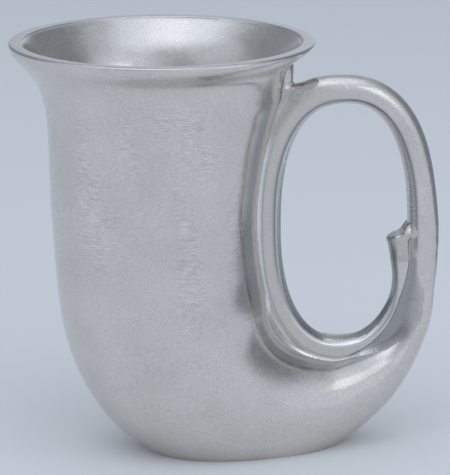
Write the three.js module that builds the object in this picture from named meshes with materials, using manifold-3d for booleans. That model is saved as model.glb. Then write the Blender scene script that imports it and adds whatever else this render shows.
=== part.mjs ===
// Horn mug of cast pewter: a bell cup bends under itself and tapers into a finger loop, which arches back to
// the cup, runs down against it and ends as a thin stem with a mouthpiece. Millimetres, +Z up. The origin
// lies on the resting face under the axis of the lip, and the loop lies in the XZ plane on the +X side.
import * as THREE from 'three';
import { mergeVertices } from 'three/addons/utils/BufferGeometryUtils.js';
import Module from 'manifold-3d';

const wasm = await Module();
wasm.setup();

// Driving dimensions of the cup
const height = 133;
const rimRadius = 48;
const mouthRadius = 44;
const waistRadius = 32.5;
const cupWall = 3;
const cupLean = 3;

// Driving dimensions of the bend, whose sections fan out from a pivot inside the loop
const footDip = 8.4;
const pivotRise = 13;
const pivotShift = 3.55;
const pivotToCup = 21.1;

// Driving dimensions of the loop and its stem
const holeWidth = 40.2;
const archDrop = 12.1;
const limbWidth = 9.3;
const limbDepth = 9.2;
const seatWidth = 7.95;
const webDepth = 5.6;
const webWidth = 8.4;
const rootDepth = 6;

// Driving dimensions of the mouthpiece
const mouthpieceLength = 10;
const mouthpieceWidth = 7.1;
const mouthpieceDepth = 8;

// Driving dimensions of the plates and joints
const solderGap = 0.3;
const overrun = 1;
const jointLap = 6;
const footPlateThickness = 2.6;
const bulkheadThickness = 2.4;
const grooveDepth = 1.2;
const tailPegLength = 6;
const archPegRadius = 2.2;
const archPegLength = 7;
const mouthpiecePegRadius = 1.1;
const mouthpiecePegLength = 4;

// Counts, powers and angles in degrees
const hornSides = 44;
const limbSides = 20;
const pegSides = 16;
const bendSteps = 16;
const archSteps = 22;
const returnSteps = 30;
const webSteps = 12;
const rootSteps = 18;
const bisections = 40;
const reachSamples = 90;
const holePower = 2.4;
const roundPower = 2;
const squarePower = 3;
const bendStart = 180;
const bulkheadAngle = 282;
const tailJointAngle = 300;
const bendEnd = 360;
const archStart = -30;
const archJoint = 112;
const rootStart = 94;
const rootEnd = 130;
const webStart = 262;
const stemEnd = 329;
const lugEnd = 350;

// Rows of the cup from the bend to the lip: height, lean, waist part, flare part and the bore's flare part
const cupShares = [
  [0, 0.1, 1.0215, 0, 0.048],
  [0.141, 0.65, 1.003, 0, 0.007],
  [0.341, 1, 1, 0, 0],
  [0.494, 0.85, 1, 0.058, 0.062],
  [0.612, 0.57, 1, 0.123, 0.131],
  [0.729, 0.2, 1, 0.226, 0.241],
  [0.788, 0.12, 1, 0.31, 0.31],
  [0.835, 0.25, 1, 0.365, 0.38],
  [0.876, 0.45, 1, 0.455, 0.475],
  [0.918, 0.62, 1, 0.61, 0.625],
  [0.953, 0.35, 1, 0.85, 0.79],
  [0.982, 0.08, 1, 0.985, 0.93],
  [1, 0, 1, 0.968, 1],
];

// Rows of the bend by angle: seat of the loop on it, in limb widths, and its outer spiral from tail to cup
const bendShares = [
  [180, 0.866, 1],
  [195, 0.949, 0.947],
  [210, 0.953, 0.872],
  [225, 0.893, 0.744],
  [240, 0.803, 0.587],
  [255, 0.716, 0.442],
  [270, 0.661, 0.303],
  [285, 0.585, 0.19],
  [300, 0.551, 0.112],
  [315, 0.633, 0.051],
  [330, 0.687, 0.015],
  [345, 0.62, 0.004],
  [360, 0.478, 0],
];

// Rows of the limb round the arch by angle: setback of its inner side and reach of its outer side
const archShares = [
  [-30, 0.226, 1.18],
  [-14, 0.18, 1.16],
  [-4, 0.03, 1.14],
  [0, 0, 1.13],
  [30, 0, 1.04],
  [60, 0, 1],
  [90, 0, 0.99],
  [112, 0, 1],
];

// Rows of the web that fills the corner between the arch and the cup, by angle, in limb widths
const rootShares = [
  [94, 0.96],
  [99, 1.01],
  [102, 1.07],
  [104, 1.2],
  [106, 1.45],
  [108, 1.65],
  [130, 1.2],
];

// Rows of the return by angle: inset of its inner side, reach of its outer side and depth
const returnShares = [
  [112, 0, 1, 1],
  [255, 0, 1, 1],
  [264, 0.01, 0.9, 1],
  [276, 0.054, 0.49, 0.98],
  [284, 0.11, 0.31, 0.93],
  [294, 0.14, 0.2, 0.88],
  [303, 0.155, 0.14, 0.82],
  [313, 0.24, 0.108, 0.8],
  [324, 0.38, 0.1, 0.8],
  [329, 0.46, 0.105, 0.8],
];

// Rows of the mouthpiece: rise of its hole side and of its limb side, reach to each side, and depth
const mouthpieceShares = [
  [0, 0, 0.35, 0.35, 0.92],
  [0.25, 0.3, 0.46, 0.35, 0.94],
  [0.46, 0.6, 0.61, 0.35, 0.98],
  [0.56, 0.74, 0.65, 0.35, 1],
  [0.69, 0.96, 0.57, 0.3, 0.88],
];

// Reads a column of a table at a place along its first column, on a smooth curve through the rows
function readTable(rows, column, place) {
  const last = rows.length - 1;
  let row = 0;
  while (row < last - 1 && place > rows[row + 1][0]) row += 1;
  const slope = (a, b) => (rows[b][column] - rows[a][column]) / (rows[b][0] - rows[a][0]);
  const slopeAt = (at) => slope(Math.max(at - 1, 0), Math.min(at + 1, last));
  const step = rows[row + 1][0] - rows[row][0];
  const t = THREE.MathUtils.clamp((place - rows[row][0]) / step, 0, 1);
  const fade = (1 - t) * (1 - t);
  const near = (1 + 2 * t) * fade * rows[row][column] + t * fade * step * slopeAt(row);
  const far = t * t * (3 - 2 * t) * rows[row + 1][column] - t * t * (1 - t) * step * slopeAt(row + 1);
  return near + far;
}

function direction(degrees) {
  const angle = THREE.MathUtils.degToRad(degrees);
  return new THREE.Vector3(Math.cos(angle), 0, Math.sin(angle));
}

// The loop's hole and the bend's pivot follow from the cup, the foot and the lip
const bendRadius = waistRadius * cupShares[0][2];
const bendReach = pivotToCup + 2 * bendRadius;
const tailReach = pivotShift + holeWidth / 2 + limbDepth;
const pivotHeight = lowestReach() - footDip;
const holeBottom = pivotHeight - pivotRise;
const holeTop = height - archDrop - limbWidth;
const holeHalfWidth = holeWidth / 2;
const holeHalfHeight = (holeTop - holeBottom) / 2;
const holeCentre = new THREE.Vector3(
  waistRadius - cupLean + seatWidth + holeHalfWidth, 0, holeBottom + holeHalfHeight);
const pivot = new THREE.Vector3(holeCentre.x - pivotShift, 0, pivotHeight);
const innerRows = bendShares.map(([angle, seat]) => [angle, seatDistance(angle, seat)]);

// Distance from the pivot to the outside of the bend
function outerDistance(angle) {
  return tailReach + (bendReach - tailReach) * readTable(bendShares, 2, angle);
}

// How far below the pivot the round of the bend would reach if no foot were cut on it
function lowestReach() {
  let reach = 0;
  for (let step = 0; step <= reachSamples; step += 1) {
    const angle = bendStart + step;
    reach = Math.max(reach, -direction(angle).z * outerDistance(angle));
  }
  return reach;
}

// Below 1 inside the hole, 1 on its edge and above 1 outside it, at an offset from its centre
function holeSpread(offset) {
  return Math.abs(offset.x / holeHalfWidth) ** holePower + Math.abs(offset.z / holeHalfHeight) ** holePower;
}

// Distance from the pivot to the edge of the hole at an angle
function holeDistance(angle) {
  const ray = direction(angle);
  let near = 0;
  let far = holeHalfWidth + holeHalfHeight;
  for (let step = 0; step < bisections; step += 1) {
    const middle = (near + far) / 2;
    const offset = pivot.clone().addScaledVector(ray, middle).sub(holeCentre);
    if (holeSpread(offset) < 1) near = middle;
    else far = middle;
  }
  return near;
}

// Distance from the pivot to the horn's side that carries the loop
function seatDistance(angle, seat) {
  if (angle === bendStart) return pivotToCup;
  return holeDistance(angle) + seat * limbWidth;
}

// A section is given by its inner and outer point in the XZ plane, half its depth along Y and the power that
// squares off its inner half
function makeSection(inner, outer, halfDepth, power) {
  return { inner, outer, halfDepth, power };
}

function roundSection(centre, radius, ray) {
  const inner = centre.clone().addScaledVector(ray, -radius);
  const outer = centre.clone().addScaledVector(ray, radius);
  return makeSection(inner, outer, radius, roundPower);
}

// Section of the horn at an angle of the bend, with its radius made larger or smaller
function bendSection(angle, growth) {
  const innerDistance = readTable(innerRows, 1, angle);
  const radius = (outerDistance(angle) - innerDistance) / 2;
  const ray = direction(angle);
  const centre = pivot.clone().addScaledVector(ray, innerDistance + radius);
  return roundSection(centre, radius + growth, ray);
}

// Share of the cup's own height at which a level lies
function cupRise(level) {
  return THREE.MathUtils.clamp((level - pivotHeight) / (height - pivotHeight), 0, 1);
}

// Centre of the cup at a level: it leans away from the loop, and at its foot it meets the bend
function cupCentre(level) {
  const rise = cupRise(level);
  const meetsBend = pivot.x - pivotToCup - bendRadius + cupLean * cupShares[0][1];
  const fade = 1 - THREE.MathUtils.smoothstep(rise, 0, cupShares[2][0]);
  return new THREE.Vector3(meetsBend * fade - cupLean * readTable(cupShares, 1, rise), 0, level);
}

// Section of the cup's outside at a level, made larger or smaller
function cupSection(level, growth) {
  const rise = cupRise(level);
  const waist = waistRadius * readTable(cupShares, 2, rise);
  const flare = (rimRadius - waistRadius) * readTable(cupShares, 3, rise);
  return roundSection(cupCentre(level), waist + flare + growth, direction(bendStart));
}

function cupBoreSection(level) {
  const waist = waistRadius - cupWall;
  const flare = (mouthRadius - waist) * readTable(cupShares, 4, cupRise(level));
  return roundSection(cupCentre(level), waist + flare, direction(bendStart));
}

// Angle that a length takes on the outline of the hole, where the hole is narrowest
function edgeAngle(length) {
  return THREE.MathUtils.radToDeg(length / holeHalfWidth);
}

// Point on the edge of the hole and the direction away from the hole, at an angle of its outline
function holeEdge(degrees) {
  const ray = direction(degrees);
  const offset = ray.clone().multiplyScalar(holeSpread(ray) ** (-1 / holePower));
  const steep = (place, half) => Math.sign(place) * Math.abs(place / half) ** (holePower - 1) / half;
  const steepX = steep(offset.x, holeHalfWidth);
  const steepZ = steep(offset.z, holeHalfHeight);
  const away = new THREE.Vector3(steepX, 0, steepZ).normalize();
  return { point: offset.add(holeCentre), away };
}

// Section of the loop at an angle of the hole's outline, from its inset towards the hole to its reach away
function loopSection(degrees, inset, reach, depth) {
  const { point, away } = holeEdge(degrees);
  const inner = point.clone().addScaledVector(away, -inset);
  const outer = point.clone().addScaledVector(away, reach);
  return makeSection(inner, outer, depth / 2, squarePower);
}

function grownSection(section, growth) {
  const ray = section.outer.clone().sub(section.inner).normalize();
  const inner = section.inner.clone().addScaledVector(ray, -growth);
  const outer = section.outer.clone().addScaledVector(ray, growth);
  return makeSection(inner, outer, section.halfDepth + growth, section.power);
}

// Closed ring of points of a section
function sectionRing(section, sides) {
  const middle = section.inner.clone().lerp(section.outer, 0.5);
  const reach = section.outer.clone().sub(middle);
  const ring = [];
  for (let side = 0; side < sides; side += 1) {
    const ray = direction((360 * side) / sides);
    const power = ray.x < 0 ? section.power : roundPower;
    const scale = (Math.abs(ray.x) ** power + Math.abs(ray.z) ** power) ** (-1 / power);
    const point = middle.clone().addScaledVector(reach, ray.x * scale);
    point.y += section.halfDepth * ray.z * scale;
    ring.push(point);
  }
  return ring;
}

function signedVolume(points, faces) {
  let volume = 0;
  for (const [a, b, c] of faces) {
    volume += points[a].dot(points[b].clone().cross(points[c])) / 6;
  }
  return volume;
}

// Solid through a list of sections, closed by a fan at each end
function loft(sections, sides) {
  const points = sections.flatMap((section) => sectionRing(section, sides));
  const faces = [];
  for (let row = 0; row < sections.length - 1; row += 1) {
    for (let side = 0; side < sides; side += 1) {
      const next = (side + 1) % sides;
      const here = row * sides;
      faces.push([here + side, here + next, here + sides + side]);
      faces.push([here + next, here + sides + next, here + sides + side]);
    }
  }
  const lastRow = (sections.length - 1) * sides;
  const ends = [sections[0], sections[sections.length - 1]];
  ends.forEach((section) => points.push(section.inner.clone().lerp(section.outer, 0.5)));
  const firstCentre = points.length - 2;
  for (let side = 0; side < sides; side += 1) {
    const next = (side + 1) % sides;
    faces.push([firstCentre, next, side]);
    faces.push([firstCentre + 1, lastRow + side, lastRow + next]);
  }
  const turned = signedVolume(points, faces) < 0 ? faces.map(([a, b, c]) => [a, c, b]) : faces;
  const geometry = new THREE.BufferGeometry();
  geometry.setAttribute('position', new THREE.Float32BufferAttribute(points.flatMap((p) => p.toArray()), 3));
  geometry.setIndex(turned.flat());
  return toSolid(geometry);
}

function toSolid(geometry) {
  const bare = geometry.clone();
  bare.deleteAttribute('normal');
  bare.deleteAttribute('uv');
  const merged = mergeVertices(bare);
  return new wasm.Manifold(new wasm.Mesh({
    numProp: 3,
    vertProperties: new Float32Array(merged.attributes.position.array),
    triVerts: new Uint32Array(merged.index.array),
  }));
}

function toMesh(name, solid, material) {
  const mesh = solid.getMesh();
  const geometry = new THREE.BufferGeometry();
  geometry.setAttribute('position', new THREE.Float32BufferAttribute(mesh.vertProperties, 3));
  geometry.setIndex(Array.from(mesh.triVerts));
  geometry.computeVertexNormals();
  const node = new THREE.Mesh(geometry, material);
  node.name = name;
  return node;
}

function span(from, to, steps) {
  return Array.from({ length: steps + 1 }, (_, step) => THREE.MathUtils.lerp(from, to, step / steps));
}

// Block that covers the whole mug between two places along Y and two along Z
function slab(yFrom, yTo, zFrom, zTo) {
  const length = 4 * height;
  const geometry = new THREE.BoxGeometry(length, yTo - yFrom, zTo - zFrom);
  geometry.translate(0, (yFrom + yTo) / 2, (zFrom + zTo) / 2);
  return toSolid(geometry);
}

// Round bar between two points of the XZ plane
function bar(from, to, radius) {
  const axis = to.clone().sub(from).normalize();
  const ray = new THREE.Vector3(axis.z, 0, -axis.x);
  return loft([roundSection(from, radius, ray), roundSection(to, radius, ray)], pegSides);
}

const cupLevels = cupShares.map(([rise]) => THREE.MathUtils.lerp(pivotHeight, height, rise));

function bellCup() {
  const levels = [pivotHeight + solderGap, ...cupLevels.slice(1)];
  const outside = loft(levels.map((level) => cupSection(level, 0)), hornSides);
  const boreLevels = [pivotHeight - overrun, ...cupLevels, height + overrun];
  const bore = loft(boreLevels.map(cupBoreSection), hornSides);
  const lapLevels = [pivotHeight - overrun, pivotHeight, pivotHeight + jointLap + solderGap];
  const lap = loft(lapLevels.map((level) => cupSection(level, -cupWall / 2)), hornSides);
  return outside.subtract(bore).subtract(lap);
}

// Bore of the bend, made smaller by a growth below zero, from the top of its spigot to an angle
function bendBore(growth, endAngle) {
  const neck = [pivotHeight + jointLap + overrun, pivotHeight + jointLap / 2];
  const sections = neck.map((level) => cupSection(level, growth - cupWall));
  for (const angle of span(bendStart, endAngle, bendSteps)) {
    sections.push(bendSection(angle, growth - cupWall));
  }
  return loft(sections, hornSides);
}

// Flat disc across the bore, at an angle of the bend
function boreDisc(angle, growth, thickness) {
  const section = bendSection(angle, growth - cupWall);
  const centre = section.inner.clone().lerp(section.outer, 0.5);
  const ray = direction(angle);
  const along = direction(angle + 90).multiplyScalar(thickness / 2);
  const faces = [centre.clone().sub(along), centre.clone().add(along)];
  return loft(faces.map((point) => roundSection(point, section.halfDepth, ray)), hornSides);
}

function bendShell() {
  const sections = span(bendStart, tailJointAngle, bendSteps).map((angle) => bendSection(angle, 0));
  const spigotLevels = [pivotHeight - overrun, pivotHeight, pivotHeight + jointLap];
  const spigotGrowth = -cupWall / 2 - solderGap;
  const spigot = loft(spigotLevels.map((level) => cupSection(level, spigotGrowth)), hornSides);
  const groove = boreDisc(bulkheadAngle, grooveDepth, bulkheadThickness + 2 * solderGap);
  return loft(sections, hornSides)
    .add(spigot)
    .subtract(bendBore(0, tailJointAngle + tailAngle(overrun)))
    .subtract(groove)
    .subtract(slab(-height, height, -height, 0));
}

function bendHalf(side) {
  const seam = (side * solderGap) / 2;
  const edge = side * height;
  return bendShell().intersect(slab(Math.min(seam, edge), Math.max(seam, edge), -overrun, height));
}

function footPlate() {
  return bendBore(-solderGap, tailJointAngle).intersect(slab(-height, height, 0, footPlateThickness));
}

function tailBulkhead() {
  return boreDisc(bulkheadAngle, grooveDepth - solderGap, bulkheadThickness);
}

// Whole outside of the cup and bend, grown by the gap, that cuts what is soldered to it
function hornCutter() {
  const cupPart = [...cupLevels].reverse().map((level) => cupSection(level, solderGap));
  const bendPart = span(bendStart, tailJointAngle, bendSteps).slice(1);
  return loft([...cupPart, ...bendPart.map((angle) => bendSection(angle, solderGap))], hornSides);
}

// Angle about the pivot that a length takes on the middle of the tail, at its joint with the bend
function tailAngle(length) {
  const { inner, outer } = bendSection(tailJointAngle, 0);
  const distance = inner.clone().lerp(outer, 0.5).distanceTo(pivot);
  return THREE.MathUtils.radToDeg(length / distance);
}

// Sections of the tail and arch, from the joint on the bend to the joint on the return
function archSections(growth, firstAngle) {
  const tail = span(firstAngle, bendEnd, bendSteps / 2).map((angle) => bendSection(angle, 0));
  const arch = span(archStart, archJoint, archSteps).map((angle) => {
    const [setback, reach] = [1, 2].map((column) => limbWidth * readTable(archShares, column, angle));
    return loopSection(angle, -setback, reach, limbDepth);
  });
  return [...tail, ...arch].map((section) => grownSection(section, growth));
}

// Web between two angles that joins the arch, and the return below it, to the cup
function rootWeb(from, to) {
  const steps = Math.ceil((rootSteps * (to - from)) / (rootEnd - rootStart));
  const sections = span(from, to, steps).map((angle) => {
    return loopSection(angle, 0, limbWidth * readTable(rootShares, 1, angle), rootDepth);
  });
  return loft(sections, limbSides);
}

// Peg of the arch, or its socket in the return
function archPeg(growth) {
  const { inner, outer } = loopSection(archJoint, 0, limbWidth, limbDepth);
  const root = inner.clone().lerp(outer, 0.5);
  const away = holeEdge(archJoint).away;
  const along = new THREE.Vector3(-away.z, 0, away.x);
  const from = root.clone().addScaledVector(along, -overrun);
  const to = root.clone().addScaledVector(along, archPegLength + growth);
  return bar(from, to, archPegRadius + growth);
}

// Solid of the tail and arch, grown by the gap, that cuts what is soldered to it
function archCutter() {
  return loft(archSections(solderGap, tailJointAngle - tailAngle(solderGap)), limbSides);
}

function loopArch() {
  const firstAngle = tailJointAngle + tailAngle(2 * solderGap);
  const pegTip = tailJointAngle - tailAngle(tailPegLength);
  const pegAngles = span(pegTip, firstAngle + tailAngle(overrun), bendSteps / 4);
  const tailPeg = loft(pegAngles.map((angle) => bendSection(angle, -cupWall - solderGap)), limbSides);
  return loft(archSections(0, firstAngle), limbSides)
    .add(rootWeb(rootStart, archJoint))
    .subtract(hornCutter())
    .add(tailPeg)
    .add(archPeg(0));
}

function returnSection(angle) {
  const [inset, reach, depth] = [1, 2, 3].map((column) => readTable(returnShares, column, angle));
  return loopSection(angle, inset * limbWidth, reach * limbWidth, depth * limbDepth);
}

// Web between two angles that joins the stem, or the mouthpiece above it, to the limb
function stemWeb(from, to) {
  const steps = Math.ceil((webSteps * (to - from)) / (lugEnd - webStart));
  const sections = span(from, to, steps).map((angle) => loopSection(angle, 0, webWidth, webDepth));
  return loft(sections, limbSides);
}

// Point on the middle of the stem's end
function stemTop() {
  const { inner, outer } = returnSection(stemEnd);
  return inner.clone().lerp(outer, 0.5);
}

// Peg of the mouthpiece, or its socket in the stem
function mouthpiecePeg(growth) {
  const root = stemTop();
  const away = holeEdge(stemEnd).away;
  const along = new THREE.Vector3(away.z, 0, -away.x);
  const from = root.clone().addScaledVector(along, mouthpiecePegLength + growth);
  const to = root.clone().addScaledVector(along, -overrun);
  return bar(from, to, mouthpiecePegRadius + growth);
}

function loopReturn() {
  const firstAngle = archJoint + edgeAngle(solderGap);
  const angles = span(firstAngle, stemEnd, returnSteps);
  return loft(angles.map(returnSection), limbSides)
    .add(rootWeb(firstAngle, rootEnd))
    .add(stemWeb(webStart, stemEnd))
    .subtract(hornCutter())
    .subtract(archCutter())
    .subtract(archPeg(solderGap))
    .subtract(mouthpiecePeg(solderGap));
}

function mouthpiece() {
  const root = stemTop();
  const away = holeEdge(stemEnd).away;
  const up = new THREE.Vector3(-away.z, 0, away.x);
  root.addScaledVector(up, solderGap);
  const sections = mouthpieceShares.map(([holeRise, limbRise, holeReach, limbReach, depth]) => {
    const inner = root.clone().addScaledVector(up, holeRise * mouthpieceLength);
    const outer = root.clone().addScaledVector(up, limbRise * mouthpieceLength);
    inner.addScaledVector(away, -holeReach * mouthpieceWidth);
    outer.addScaledVector(away, limbReach * mouthpieceWidth);
    return makeSection(inner, outer, (depth * mouthpieceDepth) / 2, roundPower);
  });
  return loft(sections, limbSides)
    .add(stemWeb(stemEnd + edgeAngle(solderGap), lugEnd))
    .subtract(archCutter())
    .add(mouthpiecePeg(0));
}

const satinPewter = new THREE.MeshStandardMaterial({ color: 0xa3a6ab, roughness: 0.42, metalness: 1 });
const castPewter = new THREE.MeshStandardMaterial({ color: 0x989797, roughness: 0.55, metalness: 1 });
const darkPewter = new THREE.MeshStandardMaterial({ color: 0x85868a, roughness: 0.6, metalness: 1 });

const mug = new THREE.Group();
mug.add(toMesh('bell_cup', bellCup(), satinPewter));
mug.add(toMesh('bend_front', bendHalf(-1), satinPewter));
mug.add(toMesh('bend_back', bendHalf(1), satinPewter));
mug.add(toMesh('foot_plate', footPlate(), darkPewter));
mug.add(toMesh('tail_bulkhead', tailBulkhead(), darkPewter));
mug.add(toMesh('loop_arch', loopArch(), castPewter));
mug.add(toMesh('loop_return', loopReturn(), castPewter));
mug.add(toMesh('mouthpiece', mouthpiece(), satinPewter));

export default mug;
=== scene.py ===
import bmesh
import bpy
import numpy as np
from mathutils import Matrix, Vector


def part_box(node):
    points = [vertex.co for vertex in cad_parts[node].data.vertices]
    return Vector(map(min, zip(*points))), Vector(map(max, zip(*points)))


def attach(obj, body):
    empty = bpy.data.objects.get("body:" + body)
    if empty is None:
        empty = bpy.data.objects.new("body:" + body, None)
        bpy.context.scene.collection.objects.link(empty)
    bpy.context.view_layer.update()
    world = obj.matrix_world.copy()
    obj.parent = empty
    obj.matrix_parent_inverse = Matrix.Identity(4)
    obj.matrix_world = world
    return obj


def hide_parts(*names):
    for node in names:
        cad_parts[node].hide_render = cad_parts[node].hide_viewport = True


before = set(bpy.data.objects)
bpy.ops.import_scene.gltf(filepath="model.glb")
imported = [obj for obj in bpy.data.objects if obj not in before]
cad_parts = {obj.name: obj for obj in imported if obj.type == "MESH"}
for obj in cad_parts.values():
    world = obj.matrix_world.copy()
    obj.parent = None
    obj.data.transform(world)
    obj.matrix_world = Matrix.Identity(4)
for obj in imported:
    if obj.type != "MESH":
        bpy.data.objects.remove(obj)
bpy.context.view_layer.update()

# The studio: a pale floor under soft light, and a camera a little to the left and above, as in the
# photograph. A large soft lamp hangs overhead and a small one stands close in front. The room is darker on
# the right. The floor's colour holds painted shade: it darkens from the front to the back as painted
# falloff of light, and on the right past what the camera sees, as painted shade for the metal to reflect.
# Lengths are in metres.
camera_azimuth = -5.0
camera_elevation = 14.258
camera_roll = -0.194
camera_distance = 0.9
camera_target = Vector((0.01954, 0.0, 0.06875))
camera_lens = 213.94
camera_clip = (0.01, 50.0)
floor_reach = 4.0
floor_roughness = 0.85
floor_depth = (-0.1, 0.9)
# Painted shade in the floor's colour: the far colour stands for falloff of light, the side colour for shade
floor_near_colour = (0.97, 0.97, 0.98)
floor_far_shaded_colour = (0.77, 0.77, 0.785)
floor_side_slant = -0.17
floor_side_span = (0.095, 0.2)
floor_side_lean = 0.3
floor_side_depth = (0.13, 0.2)
floor_side_shade = 0.9
floor_side_shade_colour = (0.3, 0.31, 0.33)
background_colour = (0.50, 0.56, 0.64)
room_tint = (0.88, 0.98, 1.10)
room_level = 0.505
lamp_target = Vector((0.0, 0.0, 0.06))

# Columns: azimuth and elevation of a brighter or darker part of the room, its level, and the cosines of the
# angles from its middle at which it starts and is full
room_glows = [
    (28.0, 20.0, 0.28, 0.57, 0.985),
    (-25.0, 78.0, 0.5, 0.74, 0.985),
    (-65.0, 45.0, 0.16, 0.7, 0.97),
    (-14.0, 20.0, -0.1, 0.83, 0.97),
    (112.0, 12.0, -0.24, 0.7, 0.95),
    (-145.0, 10.0, -0.2, 0.6, 0.96),
    (172.0, 5.0, 0.18, 0.87, 0.98),
]

# Columns: name, azimuth, elevation, distance, size, level and colour of a lamp
lamps = [
    ("lamp_overhead", -18.0, 70.0, 1.7, 0.7, 0.14, (1.0, 0.96, 0.9)),
    ("lamp_front", 44.0, 32.0, 0.262, 0.1, 0.45, (1.0, 0.97, 0.93)),
]


def heading(azimuth, elevation):
    """Unit vector from angles in degrees: azimuth 0 is the front, -Y, and 90 is +X."""
    azimuth, elevation = np.radians([azimuth, elevation])
    level = np.cos(elevation)
    return Vector((np.sin(azimuth) * level, -np.cos(azimuth) * level, np.sin(elevation)))


def aim_camera():
    """Places the camera at a distance from its target, along its heading, turned by its roll."""
    data = bpy.data.cameras.new("camera")
    data.lens = camera_lens
    data.clip_start, data.clip_end = camera_clip
    camera = bpy.data.objects.new("camera", data)
    bpy.context.collection.objects.link(camera)
    back = heading(camera_azimuth, camera_elevation)
    place = Matrix.Translation(camera_target + back * camera_distance)
    turn = back.to_track_quat("Z", "Y").to_matrix().to_4x4()
    camera.matrix_world = place @ turn @ Matrix.Rotation(np.radians(camera_roll), 4, "Z")
    bpy.context.scene.camera = camera


def softbox(name, azimuth, elevation, distance, size, level, colour):
    """A square soft lamp that faces the mug from a heading. Its level is the brightness of its face."""
    data = bpy.data.lights.new(name, "AREA")
    data.shape = "SQUARE"
    data.size = size
    data.energy = level * np.pi * size * size
    data.color = colour
    lamp = bpy.data.objects.new(name, data)
    bpy.context.collection.objects.link(lamp)
    back = heading(azimuth, elevation)
    facing = back.to_track_quat("Z", "Y").to_matrix().to_4x4()
    lamp.matrix_world = Matrix.Translation(back * distance + lamp_target) @ facing
    lamp.visible_camera = False


def feed(tree, inputs, given):
    """Feeds inputs, by name or number, with other nodes' outputs or with plain values."""
    for name, value in given.items():
        if isinstance(value, bpy.types.NodeSocket):
            tree.links.new(value, inputs[name])
        else:
            inputs[name].default_value = value


def add_node(tree, kind, output, given=None, **settings):
    """One output of a new node with some settings, and with its inputs fed by what is given."""
    node = tree.nodes.new("ShaderNode" + kind)
    for name, value in settings.items():
        setattr(node, name, value)
    feed(tree, node.inputs, given or {})
    return node.outputs[output]


def calculate(tree, operation, *values):
    """A Math node on one to three inputs, each an output of another node or a number."""
    return add_node(tree, "Math", "Value", dict(enumerate(values)), operation=operation)


def between(tree, value, span, top=1.0, curve="SMOOTHSTEP"):
    """Rises from 0 at the start of a span to a top at its end, smoothly, or evenly on the curve LINEAR."""
    given = {"Value": value, "From Min": span[0], "From Max": span[1], "To Max": top}
    return add_node(tree, "MapRange", "Result", given, interpolation_type=curve)


def mix_colours(tree, first, second, share):
    """Goes from one colour to another with a share. A colour is another node's output or three numbers."""
    first, second = [colour if isinstance(colour, bpy.types.NodeSocket) else (*colour, 1.0)
                     for colour in (first, second)]
    return add_node(tree, "Mix", "Result", {"Factor": share, "A": first, "B": second}, data_type="RGBA")


def new_material(name):
    """A material with a Principled shader: itself, its node tree and the shader's inputs."""
    material = bpy.data.materials.new(name)
    material.use_nodes = True
    return material, material.node_tree, material.node_tree.nodes["Principled BSDF"].inputs


def parts_of(tree, vector):
    """The three parts of a vector, by the names X, Y and Z."""
    return add_node(tree, "SeparateXYZ", "X", {0: vector}).node.outputs


def lay_floor():
    """A level square sheet of plain pale card with painted shade in its colour: darker evenly from the front
    to the back as painted falloff of light, and again on the right, past the edge of the picture, as painted
    shade that the metal reflects."""
    mesh = bpy.data.meshes.new("floor")
    corners = [(-1, -1, 0), (1, -1, 0), (1, 1, 0), (-1, 1, 0)]
    mesh.from_pydata([Vector(corner) * floor_reach for corner in corners], [], [(0, 1, 2, 3)])
    sheet = bpy.data.objects.new("floor", mesh)
    bpy.context.collection.objects.link(sheet)
    material, tree, inputs = new_material("pale_card")
    place = parts_of(tree, add_node(tree, "TexCoord", "Object"))
    card = between(tree, place["Y"], floor_depth, curve="LINEAR")
    card = mix_colours(tree, floor_near_colour, floor_far_shaded_colour, card)
    slant = calculate(tree, "MULTIPLY_ADD", place["Y"], floor_side_slant, place["X"])
    lean = calculate(tree, "MULTIPLY_ADD", place["X"], floor_side_lean, place["Y"])
    shade = between(tree, lean, floor_side_depth, floor_side_shade, "LINEAR")
    side = between(tree, slant, floor_side_span, shade, "LINEAR")
    colour = mix_colours(tree, card, floor_side_shade_colour, side)
    feed(tree, inputs, {"Base Color": colour, "Roughness": floor_roughness})
    mesh.materials.append(material)


def light_room():
    """The camera sees a plain background. Everything else is lit by the room: one level, with a few broad
    glows that rise smoothly with the cosine of the angle from their middles."""
    world = bpy.data.worlds.new("studio")
    bpy.context.scene.world = world
    world.use_nodes = True
    tree = world.node_tree
    direction = add_node(tree, "TexCoord", "Generated")
    level = room_level
    for azimuth, elevation, amount, start, full in room_glows:
        pair = {0: direction, 1: heading(azimuth, elevation)}
        along = add_node(tree, "VectorMath", "Value", pair, operation="DOT_PRODUCT")
        level = calculate(tree, "ADD", between(tree, along, (start, full), amount), level)
    lit = add_node(tree, "VectorMath", "Vector", {0: room_tint, "Scale": level}, operation="SCALE")
    seen = add_node(tree, "LightPath", "Is Camera Ray")
    feed(tree, tree.nodes["Background"].inputs, {"Color": mix_colours(tree, lit, background_colour, seen)})


bpy.context.scene.view_settings.view_transform = "Standard"
aim_camera()
lay_floor()
light_room()
for lamp in lamps:
    softbox(*lamp)

# The bell cup is cast in pewter and turned on a lathe, so its wall carries fine level tool lines. Its lip is
# rolled out and ground flat, a rib runs from the arch of the loop up to the lip, and its foot is counterbored
# to sit over the spigot of the bend. Cup, bend and tail share one round tube, whose sections are level here.
joint_lap = 0.006
lip_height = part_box("bell_cup")[1][2]
joint_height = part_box("bend_front")[1][2] - joint_lap
rim_radius = 0.048
mouth_radius = 0.044
waist_radius = 0.0325
cup_wall = 0.003
cup_lean = 0.003
limb_width = 0.0093
limb_depth = 0.0092
hole_half_width = 0.0201
hole_power = 2.4
hole_drop = 0.013
hole_cover = 0.0121
hole_bottom = joint_height - hole_drop
hole_top = lip_height - hole_cover - limb_width
hole_half_height = (hole_top - hole_bottom) / 2
run_width = 0.00795
hole_x = waist_radius - cup_lean + run_width + hole_half_width
hole_z = (hole_bottom + hole_top) / 2
pivot_shift = 0.00355
pivot_x = hole_x - pivot_shift
pivot_to_cup = 0.0211
bend_growth = 1.0215
bend_radius = waist_radius * bend_growth
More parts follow.
